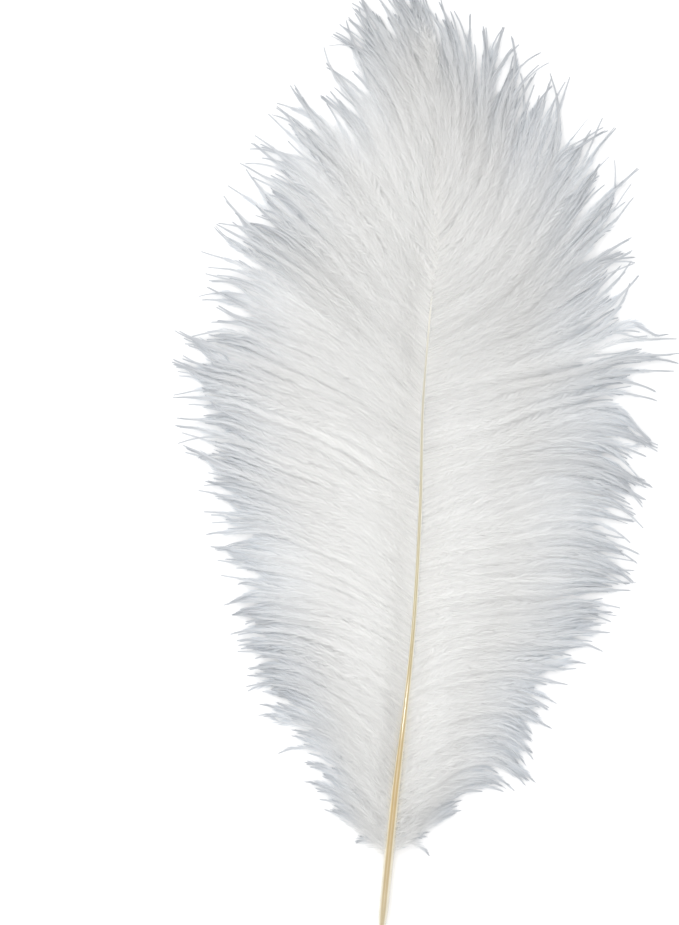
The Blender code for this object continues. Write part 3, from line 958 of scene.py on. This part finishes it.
# Each row is made in a few pieces of whole barbs, with the stems and fringes joined.
down = down_material()
for side, word in ((-1, "left"), (1, "right")):
    rng = np.random.default_rng(SEEDS[side])
    row = barb_row(side, rng)
    stem_points, stem_faces, stem_layout, stem_barb = stems(side, row, rng)
    count = (TRIANGLES_A_SIDE - len(stem_faces)) // 2
    fringe_points, fringe_faces, fringe_layout, fringe_barb = barbules(side, row, rng, count)
    points = np.concatenate([stem_points, fringe_points])
    faces = np.concatenate([stem_faces, fringe_faces + len(stem_points)])
    layout = np.concatenate([stem_layout, fringe_layout]).reshape(-1, 3, 2)
    barb = np.concatenate([stem_barb, fringe_barb])
    below = np.cumsum(np.bincount(barb, minlength=BARBS_A_SIDE))
    pieces = math.ceil(len(faces) / MOST_IN_A_PIECE)
    ends = np.searchsorted(below, np.arange(1, pieces) * len(faces) / pieces)
    piece_of = np.searchsorted(ends, np.arange(BARBS_A_SIDE), side="right")
    for number in range(pieces):
        mine = piece_of[barb] == number
        used, own = np.unique(faces[mine], return_inverse=True)
        places = layout[mine].reshape(-1, 2)
        name = f"barbs_{word}_{number + 1}"
        piece = mesh_object(name, points[used], own.reshape(-1, 3), places, down)
        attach(piece, "root")
        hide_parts(f"vane_{word}")

# The plume lies on a plain pale surface, in soft light from all round and from a box on
# its left. The camera looks straight down from far enough off that nothing spreads.
PIXEL = 0.00049
PHOTO_WIDTH, PHOTO_HEIGHT = 679, 925
QUILL_END_PIXEL = (381.0, 935.3)
CAMERA_HEIGHT, SENSOR = 3.0, 36.0
FLOOR_HALF, FLOOR_DOWN = 6, 0.0003
FLOOR_COLOUR, FLOOR_ROUGHNESS = (0.96, 0.96, 0.96, 1), 0.9
SKY_COLOUR, SKY_STRENGTH = (1, 1, 1, 1), 1.06
BOX_SIZE, BOX_POWER, BOX_PLACE = (1.0, 0.6), 6, (-0.85, 0.95, 1.05)
# A narrow bright strip, high up, whose mirror image is the glint on the lower rachis.
STRIP_SIZE, STRIP_POWER, STRIP_PLACE = (0.50, 0.10), 12, (-0.40, -0.34, 3.3)
STRIP_TURN = (math.radians(-2), math.radians(-7), 0)

floor_corners = [
    (x * FLOOR_HALF, y * FLOOR_HALF, 0) for x, y in ((-1, -1), (1, -1), (1, 1), (-1, 1))
]
floor_mesh = bpy.data.meshes.new("floor")
floor_mesh.from_pydata(floor_corners, [], [(0, 1, 2, 3)])
floor = bpy.data.objects.new("floor", floor_mesh)
bpy.context.scene.collection.objects.link(floor)
floor.location.z = -FLOOR_DOWN
paint = bpy.data.materials.new("floor")
paint.use_nodes = True
paint.node_tree.nodes["Principled BSDF"].inputs["Base Color"].default_value = FLOOR_COLOUR
paint.node_tree.nodes["Principled BSDF"].inputs["Roughness"].default_value = FLOOR_ROUGHNESS
floor_mesh.materials.append(paint)

world = bpy.data.worlds.new("studio")
world.use_nodes = True
world.node_tree.nodes["Background"].inputs["Color"].default_value = SKY_COLOUR
world.node_tree.nodes["Background"].inputs["Strength"].default_value = SKY_STRENGTH
bpy.context.scene.world = world


def area_lamp(name, size, power, place):
    """A rectangular lamp that shines straight down."""
    lamp = bpy.data.lights.new(name, "AREA")
    lamp.shape = "RECTANGLE"
    lamp.size, lamp.size_y = size
    lamp.energy = power
    obj = bpy.data.objects.new(name, lamp)
    bpy.context.scene.collection.objects.link(obj)
    obj.location = place
    return obj


softbox = area_lamp("softbox", BOX_SIZE, BOX_POWER, BOX_PLACE)
softbox.rotation_euler = (-softbox.location).to_track_quat("-Z", "Y").to_euler()
strip = area_lamp("strip", STRIP_SIZE, STRIP_POWER, STRIP_PLACE)
strip.rotation_euler = STRIP_TURN

camera_data = bpy.data.cameras.new("camera")
camera_data.lens = SENSOR * CAMERA_HEIGHT / (PHOTO_HEIGHT * PIXEL)
camera_data.sensor_width = SENSOR
camera = bpy.data.objects.new("camera", camera_data)
bpy.context.scene.collection.objects.link(camera)
camera.location = (
    float(shaft_x(quill_end)) + (PHOTO_WIDTH / 2 - QUILL_END_PIXEL[0]) * PIXEL,
    quill_end + (QUILL_END_PIXEL[1] - PHOTO_HEIGHT / 2) * PIXEL,
    CAMERA_HEIGHT,
)
bpy.context.scene.camera = camera
bpy.context.scene.view_settings.view_transform = "Standard"
